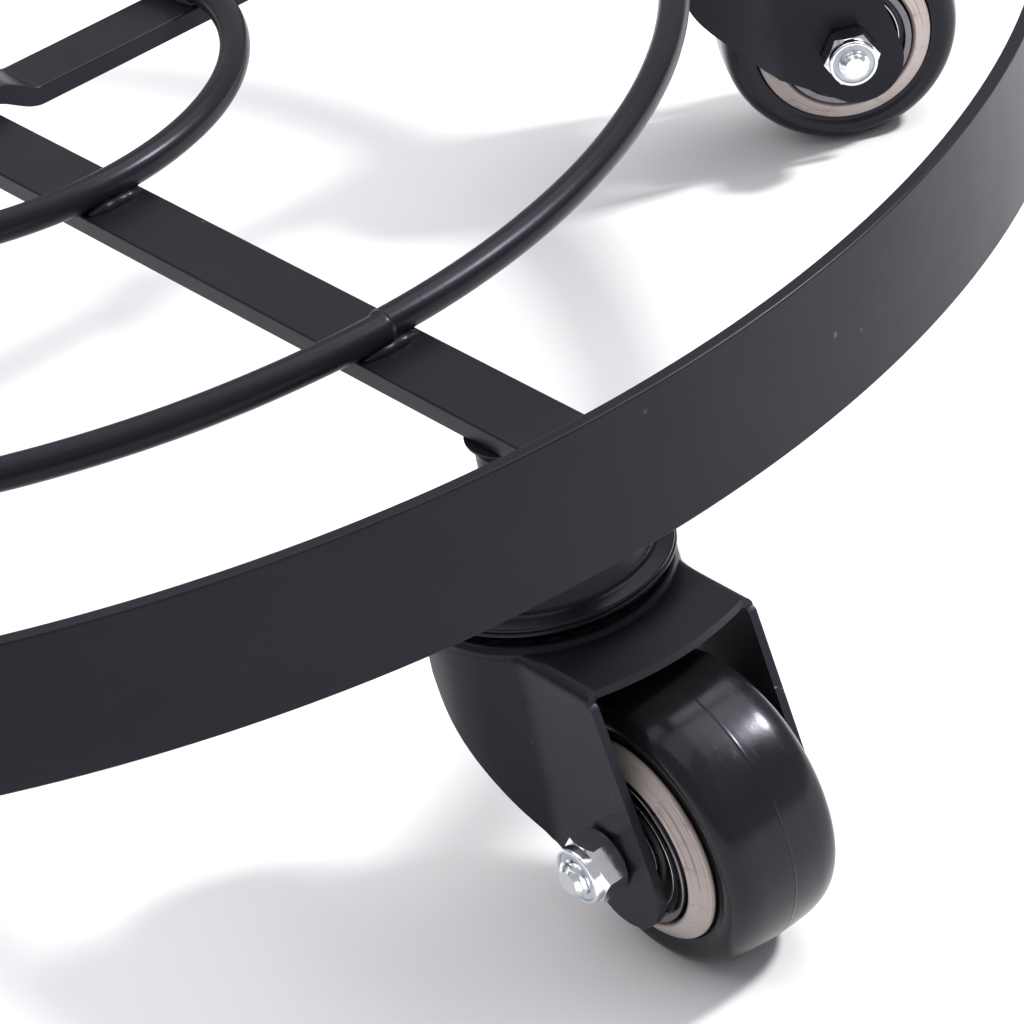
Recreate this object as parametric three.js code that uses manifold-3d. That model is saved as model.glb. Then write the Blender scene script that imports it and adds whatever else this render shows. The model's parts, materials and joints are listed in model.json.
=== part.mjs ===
// A round plant pot caddy: a flat-bar hoop with two crossed bars and two wire rings to stand
// a pot on, carried by four swivel casters. Millimetres, +Z up, origin on the floor below
// the middle of the hoop.
import * as THREE from "three";
import { mergeVertices } from "three/addons/utils/BufferGeometryUtils.js";
import Module from "manifold-3d";

const wasm = await Module();
wasm.setup();

// ---- Driving dimensions ----------------------------------------------------------------
const HOOP_DIAMETER = 320;
const BAND_HEIGHT = 20;
const BAND_THICKNESS = 2;
const BAND_EDGE = 0.4; // small chamfer on the band's four edges

const BAR_WIDTH = 10;
const BAR_THICKNESS = 3;
const BAR_DROP = 13.5; // from the hoop's top edge down to the bars' top faces
const JOGGLE_FLAT = 6.5; // half length of the raised stretch where one bar crosses the other
const JOGGLE_RAMP = 6.5;

const WIRE_DIAMETER = 4.4;
const SMALL_RING_RADIUS = 42.7;
const LARGE_RING_RADIUS = 105.7;

const WHEEL_DIAMETER = 39;
const HOOP_LIFT = 63; // floor to the hoop's lower edge
const CASTER_COUNT = 4;
const CASTER_RADII = [131, 133.6, 131, 133.6]; // hoop's middle to each swivel axis
const TRAIL = 22.4; // swivel axis to axle
const REST_TURN = [0, -32, 0, -32]; // degrees that each fork is turned from straight outwards

const SHEET = 1.2; // thickness of the sheet that the fork and the cap are pressed from
const FORK_WIDTH = 26.5;
const FORK_TOP = 44.9;
const FORK_FRONT = 24.5;
const FORK_NOSE = 1.8; // how far the top's front edge bulges forwards in its middle
const FORK_REAR = -3.2; // rear edge of the cheeks, from the swivel axis
const GAP = 0.3; // clearance between neighbouring pieces

// ---- Values worked out from them -------------------------------------------------------
const HOOP_OUTER = HOOP_DIAMETER / 2;
const HOOP_INNER = HOOP_OUTER - BAND_THICKNESS;
const HOOP_TOP = HOOP_LIFT + BAND_HEIGHT;
const BAR_TOP = HOOP_TOP - BAR_DROP;
const BAR_BOTTOM = BAR_TOP - BAR_THICKNESS;
const BAR_HALF_LENGTH = HOOP_INNER - GAP;
const WIRE_RADIUS = WIRE_DIAMETER / 2;
const RING_Z = BAR_TOP + GAP + WIRE_RADIUS;
const TYRE_RADIUS = WHEEL_DIAMETER / 2;
const AXLE_Z = TYRE_RADIUS;
const FORK_HALF = FORK_WIDTH / 2;
const FORK_INSIDE = FORK_HALF - SHEET;

// ---- Swivel head -----------------------------------------------------------------------
const STEM_RADIUS = 5.3;
const KINGPIN_RADIUS = 4;
const KINGPIN_HEAD_RADIUS = 6.4;
const CAP_RIM_RADIUS = 17.3;
const CAP_RIM_BOTTOM = FORK_TOP + 2.6;
const CAP_TOP = 54.5;
const BALL_PATH_RADIUS = 12.4;
const PAN_RADIUS = 17.1; // round top of the fork, under the cap

// ---- Wheel -----------------------------------------------------------------------------
const AXLE_RADIUS = 2.45;
const SLEEVE_INNER = AXLE_RADIUS + GAP;
const SLEEVE_OUTER = 3.85;
const BEARING_WIDTH = 7;
const BEARING_INSET = 3.7; // mid plane to a bearing's inner face
const INNER_RACE_RADIUS = 5.9;
const BEARING_RADIUS = 10.85;
const CORE_BORE = BEARING_RADIUS + GAP;
const CORE_RADIUS = 13.2;
const CORE_FLANGE_RADIUS = 14.3;
const CORE_HALF_WIDTH = 10.5;
const TYRE_HALF_WIDTH = 8.5;
const NUT_ACROSS_FLATS = 8;
const NUT_HEIGHT = 5;
const BOLT_HEAD_RADIUS = 4.4;
const BOLT_HEAD_HEIGHT = 1.4;
const BOLT_OVERHANG = 1.4; // threaded end past the nut

// ---- Finishes --------------------------------------------------------------------------
const blackPaint = new THREE.MeshStandardMaterial({ color: 0x2c2a2f, roughness: 0.42, metalness: 0.3 });
const blackRubber = new THREE.MeshStandardMaterial({ color: 0x1f1e21, roughness: 0.38, metalness: 0 });
const blackSeal = new THREE.MeshStandardMaterial({ color: 0x151517, roughness: 0.55, metalness: 0 });
const greyBeigePlastic = new THREE.MeshStandardMaterial({ color: 0xbcb1aa, roughness: 0.5, metalness: 0 });
const zincPlate = new THREE.MeshStandardMaterial({ color: 0xd3d7da, roughness: 0.25, metalness: 1 });
const bearingSteel = new THREE.MeshStandardMaterial({ color: 0xc4c5c8, roughness: 0.2, metalness: 1 });

// ---- Helpers ---------------------------------------------------------------------------
const radians = THREE.MathUtils.degToRad;

/** A ring or a turned piece about Y from [radius, height] points, outer side upwards. */
function turned(points, segments) {
  return new THREE.LatheGeometry(points.map(([r, h]) => new THREE.Vector2(r, h)), segments);
}

/** The same, stood up so that its axis is Z. */
function turnedUpright(points, segments) {
  return turned(points, segments).rotateX(Math.PI / 2);
}

/** Closes a profile on its first point. */
function closed(points) {
  return [...points, points[0]];
}

/** A plain tube's profile. */
function tubeProfile(inner, outer, low, high) {
  return closed([[inner, low], [outer, low], [outer, high], [inner, high]]);
}

/** A shape in the X-Z plane, given depth along Y and centred on it. */
function extrudedAcross(shape, depth, curveSegments = 8) {
  const options = { depth, bevelEnabled: false, curveSegments };
  return new THREE.ExtrudeGeometry(shape, options).rotateX(Math.PI / 2).translate(0, depth / 2, 0);
}

/** A geometry as a manifold-3d solid, for cutting and joining. */
function solid(geometry) {
  const bare = geometry.clone();
  bare.deleteAttribute("normal");
  bare.deleteAttribute("uv");
  const merged = mergeVertices(bare, 1e-4);
  return new wasm.Manifold(
    new wasm.Mesh({
      numProp: 3,
      vertProperties: new Float32Array(merged.attributes.position.array),
      triVerts: new Uint32Array(merged.index.array),
    }),
  );
}

/** A manifold-3d solid as a geometry again. */
function geometryOf(manifold) {
  const mesh = manifold.getMesh();
  const geometry = new THREE.BufferGeometry();
  geometry.setAttribute("position", new THREE.BufferAttribute(mesh.vertProperties, 3));
  geometry.setIndex(new THREE.BufferAttribute(mesh.triVerts, 1));
  geometry.computeVertexNormals();
  return geometry;
}

function named(name, geometry, material) {
  const mesh = new THREE.Mesh(geometry, material);
  mesh.name = name;
  return mesh;
}

// ---- Frame -----------------------------------------------------------------------------
function hoop() {
  const profile = closed([
    [HOOP_INNER, HOOP_LIFT + BAND_EDGE],
    [HOOP_INNER + BAND_EDGE, HOOP_LIFT],
    [HOOP_OUTER - BAND_EDGE, HOOP_LIFT],
    [HOOP_OUTER, HOOP_LIFT + BAND_EDGE],
    [HOOP_OUTER, HOOP_TOP - BAND_EDGE],
    [HOOP_OUTER - BAND_EDGE, HOOP_TOP],
    [HOOP_INNER + BAND_EDGE, HOOP_TOP],
    [HOOP_INNER, HOOP_TOP - BAND_EDGE],
  ]);
  return named("hoop", turnedUpright(profile, 80), blackPaint);
}

function straightBar() {
  const bar = named(
    "cross_bar_straight",
    new THREE.BoxGeometry(2 * BAR_HALF_LENGTH, BAR_WIDTH, BAR_THICKNESS),
    blackPaint,
  );
  bar.position.z = BAR_TOP - BAR_THICKNESS / 2;
  return bar;
}

/** The second bar steps up over the first one where they cross. */
function joggledBar() {
  const step = BAR_THICKNESS + GAP;
  const foot = JOGGLE_FLAT + JOGGLE_RAMP;
  const outline = new THREE.Shape();
  outline.moveTo(-BAR_HALF_LENGTH, BAR_BOTTOM);
  outline.lineTo(-foot, BAR_BOTTOM);
  outline.lineTo(-JOGGLE_FLAT, BAR_BOTTOM + step);
  outline.lineTo(JOGGLE_FLAT, BAR_BOTTOM + step);
  outline.lineTo(foot, BAR_BOTTOM);
  outline.lineTo(BAR_HALF_LENGTH, BAR_BOTTOM);
  outline.lineTo(BAR_HALF_LENGTH, BAR_TOP);
  outline.lineTo(foot, BAR_TOP);
  outline.lineTo(JOGGLE_FLAT, BAR_TOP + step);
  outline.lineTo(-JOGGLE_FLAT, BAR_TOP + step);
  outline.lineTo(-foot, BAR_TOP);
  outline.lineTo(-BAR_HALF_LENGTH, BAR_TOP);
  const bar = named("cross_bar_joggled", extrudedAcross(outline, BAR_WIDTH), blackPaint);
  bar.rotation.z = Math.PI / 2;
  return bar;
}

/** A wire ring lying on the bars: an eight-sided section with a flat top and a flat foot. */
function wireRing(name, radius, segments) {
  const corner = WIRE_RADIUS / Math.cos(Math.PI / 8);
  const section = [];
  for (let i = 0; i < 8; i++) {
    const angle = (i + 0.5) * (Math.PI / 4);
    section.push([radius + corner * Math.cos(angle), RING_Z + corner * Math.sin(angle)]);
  }
  return named(name, turnedUpright(closed(section), segments), blackPaint);
}

// ---- Swivel head: pieces fixed to the frame --------------------------------------------
/** Stem welded under the bar, with the kingpin and its riveted head in one turned piece. */
function kingpin(name) {
  const headTop = FORK_TOP - SHEET - GAP;
  const headHeight = 2.2;
  const weldGrip = 0.6;
  const profile = [
    [0, headTop - headHeight],
    [KINGPIN_HEAD_RADIUS - 2, headTop - headHeight],
    [KINGPIN_HEAD_RADIUS, headTop - headHeight / 2],
    [KINGPIN_HEAD_RADIUS, headTop],
    [KINGPIN_RADIUS, headTop],
    [KINGPIN_RADIUS, CAP_TOP + GAP],
    [STEM_RADIUS, CAP_TOP + GAP],
    [STEM_RADIUS, BAR_BOTTOM - 2],
    [STEM_RADIUS + weldGrip, BAR_BOTTOM - GAP],
    [0, BAR_BOTTOM - GAP],
  ];
  return named(name, turnedUpright(profile, 12), blackPaint);
}

/** Pressed cap over the balls: a bell with a flat top, round shoulder and turned-out rim. */
function swivelCap(name) {
  const hole = KINGPIN_RADIUS + GAP;
  const profile = closed([
    [hole, CAP_TOP - SHEET],
    [10.4, CAP_TOP - SHEET],
    [14.2, CAP_RIM_BOTTOM + 1.4],
    [16, CAP_RIM_BOTTOM],
    [CAP_RIM_RADIUS, CAP_RIM_BOTTOM],
    [CAP_RIM_RADIUS, CAP_RIM_BOTTOM + 1.2],
    [15.2, CAP_RIM_BOTTOM + 1.7],
    [14.3, CAP_TOP - 2.2],
    [11.6, CAP_TOP],
    [hole, CAP_TOP],
  ]);
  return named(name, turnedUpright(profile, 24), blackPaint);
}

/** The ring of balls between the cap and the fork, as one band around their path. */
function ballRing(name) {
  const low = FORK_TOP + GAP;
  const high = CAP_RIM_BOTTOM + 0.9;
  const middle = (low + high) / 2;
  const half = 1.3;
  const profile = closed([
    [BALL_PATH_RADIUS - half / 2, low],
    [BALL_PATH_RADIUS + half / 2, low],
    [BALL_PATH_RADIUS + half, middle],
    [BALL_PATH_RADIUS + half / 2, high],
    [BALL_PATH_RADIUS - half / 2, high],
    [BALL_PATH_RADIUS - half, middle],
  ]);
  return named(name, turnedUpright(profile, 20), bearingSteel);
}

// ---- Fork ------------------------------------------------------------------------------
/** A drum about the swivel axis joined to a box running forwards: the fork's outer or inner bounds. */
function forkBounds(inset, bend, front) {
  const top = FORK_TOP - inset;
  const round = PAN_RADIUS - inset;
  const half = FORK_HALF - inset;
  const section = new THREE.Shape();
  section.moveTo(-half, 0);
  section.lineTo(half, 0);
  section.lineTo(half, top - bend);
  section.absarc(half - bend, top - bend, bend, 0, Math.PI / 2, false);
  section.lineTo(-half + bend, top);
  section.absarc(-half + bend, top - bend, bend, Math.PI / 2, Math.PI, false);
  const box = new THREE.ExtrudeGeometry(section, { depth: front, bevelEnabled: false, curveSegments: 3 });
  const acrossToSide = new THREE.Matrix4().makeBasis(
    new THREE.Vector3(0, 1, 0),
    new THREE.Vector3(0, 0, 1),
    new THREE.Vector3(1, 0, 0),
  );
  box.applyMatrix4(acrossToSide);
  const rim = bend * 0.4;
  const drum = turnedUpright([[0, 0], [round, 0], [round, top - rim], [round - rim, top], [0, top]], 32);
  return solid(box).add(solid(drum));
}

/** The fork seen from the side: its cheeks slope forwards to a round end, a little below the axle. */
function forkSide() {
  const endRadius = 7.4;
  const endX = TRAIL + 1.4;
  const endZ = AXLE_Z - 2.4;
  const lean = 14; // degrees from upright of the cheeks' front edge
  const outline = new THREE.Shape();
  outline.moveTo(FORK_FRONT, FORK_TOP);
  outline.lineTo(FORK_REAR, FORK_TOP);
  outline.lineTo(FORK_REAR, 38);
  outline.splineThru([
    new THREE.Vector2(-0.8, 31.7),
    new THREE.Vector2(5.5, 23.5),
    new THREE.Vector2(10.6, 16.8),
  ]);
  outline.absarc(endX, endZ, endRadius, radians(-112), radians(lean), false);
  return outline;
}

/** One bent sheet: round about the swivel head, with flat cheeks beside the wheel. */
function fork(name) {
  const long = 40;
  const sheet = forkBounds(0, 1.7, long).subtract(forkBounds(SHEET, 0.5, long + 1));
  const side = extrudedAcross(forkSide(), 4 * PAN_RADIUS, 4);
  const pan = turnedUpright(
    [[0, FORK_TOP - SHEET], [PAN_RADIUS, FORK_TOP - SHEET], [PAN_RADIUS, FORK_TOP - SHEET / 2],
      [PAN_RADIUS - SHEET / 2, FORK_TOP], [0, FORK_TOP]],
    32,
  );
  const noseHalf = FORK_HALF - SHEET;
  const nose = new THREE.Shape();
  nose.moveTo(FORK_FRONT - 1, -noseHalf);
  nose.lineTo(FORK_FRONT, -noseHalf);
  nose.quadraticCurveTo(FORK_FRONT + 2 * FORK_NOSE, 0, FORK_FRONT, noseHalf);
  nose.lineTo(FORK_FRONT - 1, noseHalf);
  const noseSheet = new THREE.ExtrudeGeometry(nose, { depth: SHEET, bevelEnabled: false, curveSegments: 8 });
  noseSheet.translate(0, 0, FORK_TOP - SHEET);
  const lipWidth = 2.4;
  const lipHeight = 0.8;
  const lip = turnedUpright(
    tubeProfile(PAN_RADIUS - lipWidth, PAN_RADIUS - 0.3, FORK_TOP - 1, FORK_TOP + lipHeight),
    32,
  );
  const kingHole = new THREE.CylinderGeometry(KINGPIN_RADIUS + GAP, KINGPIN_RADIUS + GAP, 20, 12);
  kingHole.rotateX(Math.PI / 2).translate(0, 0, FORK_TOP);
  const axleHole = new THREE.CylinderGeometry(SLEEVE_INNER, SLEEVE_INNER, 2 * FORK_WIDTH, 12);
  axleHole.translate(TRAIL, 0, AXLE_Z);
  const body = sheet
    .intersect(solid(side))
    .add(solid(noseSheet))
    .add(solid(pan))
    .add(solid(lip))
    .subtract(solid(kingHole))
    .subtract(solid(axleHole));
  return named(name, geometryOf(body), blackPaint);
}

// ---- Axle ------------------------------------------------------------------------------
/** A regular hexagon by the distance across its flats. */
function hexagon(acrossFlats) {
  const corner = acrossFlats / Math.sqrt(3);
  const outline = new THREE.Shape();
  for (let i = 0; i < 6; i++) {
    const angle = i * (Math.PI / 3);
    const move = i === 0 ? "moveTo" : "lineTo";
    outline[move](corner * Math.cos(angle), corner * Math.sin(angle));
  }
  return outline;
}

/** Bolt lying along Y: its low round head on the +Y side, its threaded end on the -Y side. */
function axleBolt(name) {
  const seat = FORK_HALF + GAP;
  const tail = seat + NUT_HEIGHT + BOLT_OVERHANG;
  const overlap = 0.5;
  const length = tail + seat + overlap;
  const shank = new THREE.CylinderGeometry(AXLE_RADIUS, AXLE_RADIUS, length, 12);
  shank.translate(0, length / 2 - tail, 0);
  const dome = 0.8;
  const head = turned(
    [[0, 0], [BOLT_HEAD_RADIUS, 0], [BOLT_HEAD_RADIUS, BOLT_HEAD_HEIGHT - dome],
      [BOLT_HEAD_RADIUS - dome, BOLT_HEAD_HEIGHT], [0, BOLT_HEAD_HEIGHT]],
    16,
  );
  head.translate(0, seat, 0);
  return named(name, geometryOf(solid(head).add(solid(shank))), zincPlate);
}

function axleNut(name) {
  const outline = hexagon(NUT_ACROSS_FLATS);
  const bore = new THREE.Path();
  bore.absarc(0, 0, AXLE_RADIUS + GAP, 0, 2 * Math.PI, true);
  outline.holes.push(bore);
  const nut = named(name, extrudedAcross(outline, NUT_HEIGHT, 6), zincPlate);
  nut.position.y = -(FORK_HALF + GAP + NUT_HEIGHT / 2);
  return nut;
}

/** Tube on the bolt that the two inner races sit on and the fork is clamped against. */
function axleSleeve(name) {
  const half = FORK_INSIDE - GAP;
  return named(name, turned(tubeProfile(SLEEVE_INNER, SLEEVE_OUTER, -half, half), 12), bearingSteel);
}

// ---- Bearings: side is +1 or -1 along Y ------------------------------------------------
function innerRace(name, side) {
  const profile = tubeProfile(SLEEVE_OUTER + GAP, INNER_RACE_RADIUS, 0, BEARING_WIDTH);
  const race = named(name, turned(profile, 16), bearingSteel);
  race.position.y = side > 0 ? BEARING_INSET : -BEARING_INSET - BEARING_WIDTH;
  return race;
}

/** Outer race with its black seals, as one ring around the inner race. */
function sealedOuterRace(name, side) {
  const profile = tubeProfile(INNER_RACE_RADIUS + GAP, BEARING_RADIUS, 0, BEARING_WIDTH);
  const race = named(name, turned(profile, 20), blackSeal);
  race.position.y = side > 0 ? BEARING_INSET : -BEARING_INSET - BEARING_WIDTH;
  return race;
}

// ---- Wheel -----------------------------------------------------------------------------
/** Moulded core: a conical ring on each face and a rib between the two bearing seats. */
function wheelCore(name) {
  const rib = BEARING_INSET - GAP;
  const flange = TYRE_HALF_WIDTH - 0.1;
  const upperHalf = [
    [CORE_RADIUS, flange],
    [CORE_FLANGE_RADIUS, flange],
    [CORE_FLANGE_RADIUS, flange + 0.3],
    [CORE_BORE + 0.4, CORE_HALF_WIDTH],
    [CORE_BORE, CORE_HALF_WIDTH],
    [CORE_BORE, rib],
    [CORE_BORE - 2, rib],
  ];
  const lowerHalf = upperHalf.map(([r, h]) => [r, -h]).reverse();
  return named(name, turned(closed([...lowerHalf, ...upperHalf]), 24), greyBeigePlastic);
}

/** Solid tyre with a slightly crowned tread and round shoulders. */
function tyre(name) {
  const bore = CORE_RADIUS + GAP;
  const side = TYRE_HALF_WIDTH - 0.4;
  const upperHalf = [
    [TYRE_RADIUS, 1.5],
    [TYRE_RADIUS - 0.2, 5.4],
    [TYRE_RADIUS - 0.8, 7.4],
    [TYRE_RADIUS - 2.6, TYRE_HALF_WIDTH],
    [bore, side],
  ];
  const lowerHalf = upperHalf.map(([r, h]) => [r, -h]).reverse();
  return named(name, turned(closed([...lowerHalf, ...upperHalf]), 28), blackRubber);
}

// ---- Casters ---------------------------------------------------------------------------
/** Everything that turns about the axle, and the axle's own pieces, about its mid point. */
function wheelAndAxle(caster) {
  const group = new THREE.Group();
  group.add(
    axleBolt(`${caster}_axle_bolt`),
    axleNut(`${caster}_axle_nut`),
    axleSleeve(`${caster}_axle_sleeve`),
    innerRace(`${caster}_inner_race_left`, 1),
    innerRace(`${caster}_inner_race_right`, -1),
    sealedOuterRace(`${caster}_outer_race_left`, 1),
    sealedOuterRace(`${caster}_outer_race_right`, -1),
    wheelCore(`${caster}_wheel_core`),
    tyre(`${caster}_tyre`),
  );
  group.position.set(TRAIL, 0, AXLE_Z);
  return group;
}

function caster(number) {
  const name = `caster_${number}`;
  const bearing = (number - 1) * (360 / CASTER_COUNT);
  const turning = new THREE.Group();
  turning.add(fork(`${name}_fork`), wheelAndAxle(name));
  const whole = new THREE.Group();
  whole.add(
    kingpin(`${name}_kingpin`),
    swivelCap(`${name}_swivel_cap`),
    ballRing(`${name}_ball_ring`),
    turning,
  );
  const radius = CASTER_RADII[number - 1];
  whole.position.set(radius * Math.cos(radians(bearing)), radius * Math.sin(radians(bearing)), 0);
  whole.rotation.z = radians(bearing + REST_TURN[number - 1]);
  return whole;
}

// ---- Assembly --------------------------------------------------------------------------
const caddy = new THREE.Group();
caddy.add(
  hoop(),
  straightBar(),
  joggledBar(),
  wireRing("wire_ring_large", LARGE_RING_RADIUS, 56),
  wireRing("wire_ring_small", SMALL_RING_RADIUS, 32),
);
for (let number = 1; number <= CASTER_COUNT; number++) {
  caddy.add(caster(number));
}

export default caddy;
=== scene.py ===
# A round plant pot caddy on four swivel casters: the detailed visual model, built in the
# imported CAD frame. Metres, +Z up, origin on the floor below the middle of the hoop.
import json
import math

import bmesh
import bpy
import numpy as np
from mathutils import Matrix, Vector


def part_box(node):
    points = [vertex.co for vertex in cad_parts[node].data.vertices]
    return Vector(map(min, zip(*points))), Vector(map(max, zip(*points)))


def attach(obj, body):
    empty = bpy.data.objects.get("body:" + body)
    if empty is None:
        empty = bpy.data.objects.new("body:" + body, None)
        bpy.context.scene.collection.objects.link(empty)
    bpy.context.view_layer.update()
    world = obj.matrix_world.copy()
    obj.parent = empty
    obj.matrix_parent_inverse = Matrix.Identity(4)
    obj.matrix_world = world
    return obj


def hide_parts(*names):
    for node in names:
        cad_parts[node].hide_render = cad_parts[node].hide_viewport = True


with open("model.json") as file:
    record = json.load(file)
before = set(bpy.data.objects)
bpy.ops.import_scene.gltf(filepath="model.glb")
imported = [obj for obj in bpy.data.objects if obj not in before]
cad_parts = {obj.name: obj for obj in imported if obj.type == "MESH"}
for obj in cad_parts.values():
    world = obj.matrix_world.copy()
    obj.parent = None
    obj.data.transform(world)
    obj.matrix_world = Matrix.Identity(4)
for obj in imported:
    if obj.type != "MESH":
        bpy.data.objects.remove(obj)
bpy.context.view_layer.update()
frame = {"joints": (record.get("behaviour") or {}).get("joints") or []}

MM = 0.001
CASTERS = (1, 2, 3, 4)

# ---- Sizes read from the frame ---------------------------------------------------------
hoop_low, hoop_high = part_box("hoop")
HOOP_RADIUS = hoop_high.x
HOOP_BOTTOM = hoop_low.z
HOOP_TOP = hoop_high.z

bar_low, bar_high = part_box("cross_bar_straight")
BAR_BOTTOM = bar_low.z
BAR_TOP = bar_high.z
BAR_HALF_WIDTH = bar_high.y
BAR_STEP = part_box("cross_bar_joggled")[1].z - BAR_TOP

large_low, large_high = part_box("wire_ring_large")
small_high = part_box("wire_ring_small")[1]
WIRE_RADIUS = (large_high.z - large_low.z) / 2
LARGE_RING_RADIUS = large_high.x - WIRE_RADIUS
SMALL_RING_RADIUS = small_high.x - WIRE_RADIUS

joints = {joint["name"]: joint for joint in frame["joints"]}
axle_place = Vector(joints["caster_1_wheel_spin"]["pos_m"])
swivel_place = Vector(joints["caster_1_swivel_turn"]["pos_m"])
TRAIL = axle_place.x - swivel_place.x
AXLE_Z = axle_place.z
CASTER_RADIUS = swivel_place.x

tyre_low, tyre_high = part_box("caster_1_tyre")
TYRE_RADIUS = (tyre_high.z - tyre_low.z) / 2
TYRE_HALF_WIDTH = (tyre_high.y - tyre_low.y) / 2
core_low, core_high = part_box("caster_1_wheel_core")
CORE_HALF_WIDTH = core_high.y
FLANGE_RADIUS = (core_high.z - core_low.z) / 2
race_low, race_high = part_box("caster_1_outer_race_left")
BEARING_RADIUS = (race_high.z - race_low.z) / 2
BEARING_INNER_FACE = race_low.y
BEARING_OUTER_FACE = race_high.y
INNER_RACE_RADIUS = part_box("caster_1_inner_race_left")[1].z - AXLE_Z
sleeve_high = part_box("caster_1_axle_sleeve")[1]
SLEEVE_RADIUS = sleeve_high.z - AXLE_Z
nut_low, nut_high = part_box("caster_1_axle_nut")
NUT_SEAT = -nut_high.y
NUT_HEIGHT = nut_high.y - nut_low.y
ACROSS_FLATS = nut_high.z - nut_low.z
bolt_low, bolt_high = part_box("caster_1_axle_bolt")
BOLT_TAIL = -bolt_low.y
BOLT_HEAD_END = bolt_high.y
BOLT_HEAD_RADIUS = bolt_high.z - AXLE_Z
cap_low, cap_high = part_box("caster_1_swivel_cap")
CAP_TOP = cap_high.z
RIM_BOTTOM = cap_low.z
RIM_RADIUS = (cap_high.y - cap_low.y) / 2
pin_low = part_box("caster_1_kingpin")[0]
PIN_BOTTOM = pin_low.z
fork_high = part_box("caster_1_fork")[1]
PAN_RADIUS = fork_high.y
LIP_TOP = fork_high.z

# ---- Sizes of details that the frame doesn't hold --------------------------------------
BAND = 2 * MM
SHEET = 1.2 * MM
FORK_TOP = LIP_TOP - 0.8 * MM
FORK_HALF_WIDTH = 13.25 * MM
FORK_FRONT = 24.5 * MM
FORK_NOSE = 1.8 * MM
FORK_REAR = -3.2 * MM
FORK_BEND = 1.7 * MM
RIM_BEND = 1.1 * MM
FORK_END_RADIUS = 7.4 * MM
FORK_END_X = TRAIL + 1.4 * MM
FORK_END_Z = AXLE_Z - 2.4 * MM
FORK_LEAN = math.radians(14)
STEM_RADIUS = 5.3 * MM
PIN_RADIUS = 4 * MM
PIN_CLEAR = PIN_RADIUS + 1.5 * MM
BOLT_RADIUS = 2.45 * MM
THREAD_PITCH = 0.8 * MM
LAND_WIDTH = 1.15 * MM
EDGE = 0.35 * MM
BEAD_RIPPLE = 0.03
BEAD_PITCH = 2.4 * MM
BEAD_ROUGHNESS = 0.003


# ---- Mesh helpers ----------------------------------------------------------------------
def rounded(corners, closed=True, steps=4):
    """An outline's points from corners (x, y, radius), with an arc at each corner that has a radius."""
    points = []
    count = len(corners)
    for i, (x, y, radius) in enumerate(corners):
        here = Vector((x, y))
        if radius == 0 or (not closed and i in (0, count - 1)):
            points.append((x, y))
            continue
        before = (Vector(corners[i - 1][:2]) - here).normalized()
        after = (Vector(corners[(i + 1) % count][:2]) - here).normalized()
        half = before.angle(after) / 2
        centre = here + (before + after).normalized() * (radius / math.sin(half))
        start = here + before * (radius / math.tan(half)) - centre
        end = here + after * (radius / math.tan(half)) - centre
        first = math.atan2(start.y, start.x)
        turn = (math.atan2(end.y, end.x) - first + math.pi) % (2 * math.pi) - math.pi
        for k in range(steps + 1):
            angle = first + turn * k / steps
            points.append((centre.x + radius * math.cos(angle), centre.y + radius * math.sin(angle)))
    return points


def in_mm(corners):
    """Corners written in millimetres, as metres."""
    return [tuple(value * MM for value in corner) for corner in corners]


def curve_through(points, steps=8):
    """A Catmull-Rom curve through points, its ends included."""
    held = [points[0], *points, points[-1]]
    made = []
    for i in range(1, len(held) - 2):
        p0, p1, p2, p3 = (np.array(p, float) for p in held[i - 1 : i + 3])
        for k in range(steps):
            t = k / steps
            made.append(
                0.5
                * (
                    2 * p1
                    + (p2 - p0) * t
                    + (2 * p0 - 5 * p1 + 4 * p2 - p3) * t**2
                    + (3 * p1 - p0 - 3 * p2 + p3) * t**3
                )
            )
    made.append(np.array(points[-1], float))
    return [tuple(p) for p in made]


def skin(name, loops, wrap=False):
    """
    A mesh over closed loops of equally many points.
    The last loop joins the first if wrap is set; otherwise both ends are capped.
    """
    count = len(loops[0])
    vertices = [tuple(point) for loop in loops for point in loop]
    faces = []
    spans = len(loops) if wrap else len(loops) - 1
    for i in range(spans):
        a = i * count
        b = ((i + 1) % len(loops)) * count
        for k in range(count):
            n = (k + 1) % count
            faces.append((a + k, a + n, b + n, b + k))
    if not wrap:
        last = (len(loops) - 1) * count
        faces.append(tuple(range(count))[::-1])
        faces.append(tuple(last + k for k in range(count)))
    mesh = bpy.data.meshes.new(name)
    mesh.from_pydata(vertices, [], faces)
    return outward(mesh)


def outward(mesh):
    """Faces turned outwards and shaded smooth, with sharp edges where faces meet steeply."""
    bm = bmesh.new()
    bm.from_mesh(mesh)
    bmesh.ops.recalc_face_normals(bm, faces=bm.faces)
    bm.to_mesh(mesh)
    bm.free()
    mesh.shade_smooth()
    mesh.set_sharp_from_angle(angle=math.radians(40))
    return mesh


def circle(radius, height, segments, axis="Z"):
    """A loop of points about Z, or about Y with height along +Y."""
    points = []
    for k in range(segments):
        angle = 2 * math.pi * k / segments
        x, y = radius * math.cos(angle), radius * math.sin(angle)
        points.append((x, y, height) if axis == "Z" else (x, height, -y))
    return points


def turned(name, profile, segments=96, axis="Z", wrap=True):
    """A turned piece from (radius, height) points: a ring if wrap, or solid between flat ends."""
    return skin(name, [circle(r, h, segments, axis) for r, h in profile], wrap)


def swept(name, section, stations, wrap=False):
    """A section of (across, up) points carried along stations of (place, across, up)."""
    loops = []
    for place, across, up in stations:
        loops.append([tuple(place + across * a + up * u) for a, u in section])
    return skin(name, loops, wrap)


def joined(name, meshes):
    """Several meshes as one."""
    bm = bmesh.new()
    for mesh in meshes:
        bm.from_mesh(mesh)
    whole = bpy.data.meshes.new(name)
    bm.to_mesh(whole)
    bm.free()
    return outward(whole)


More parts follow.
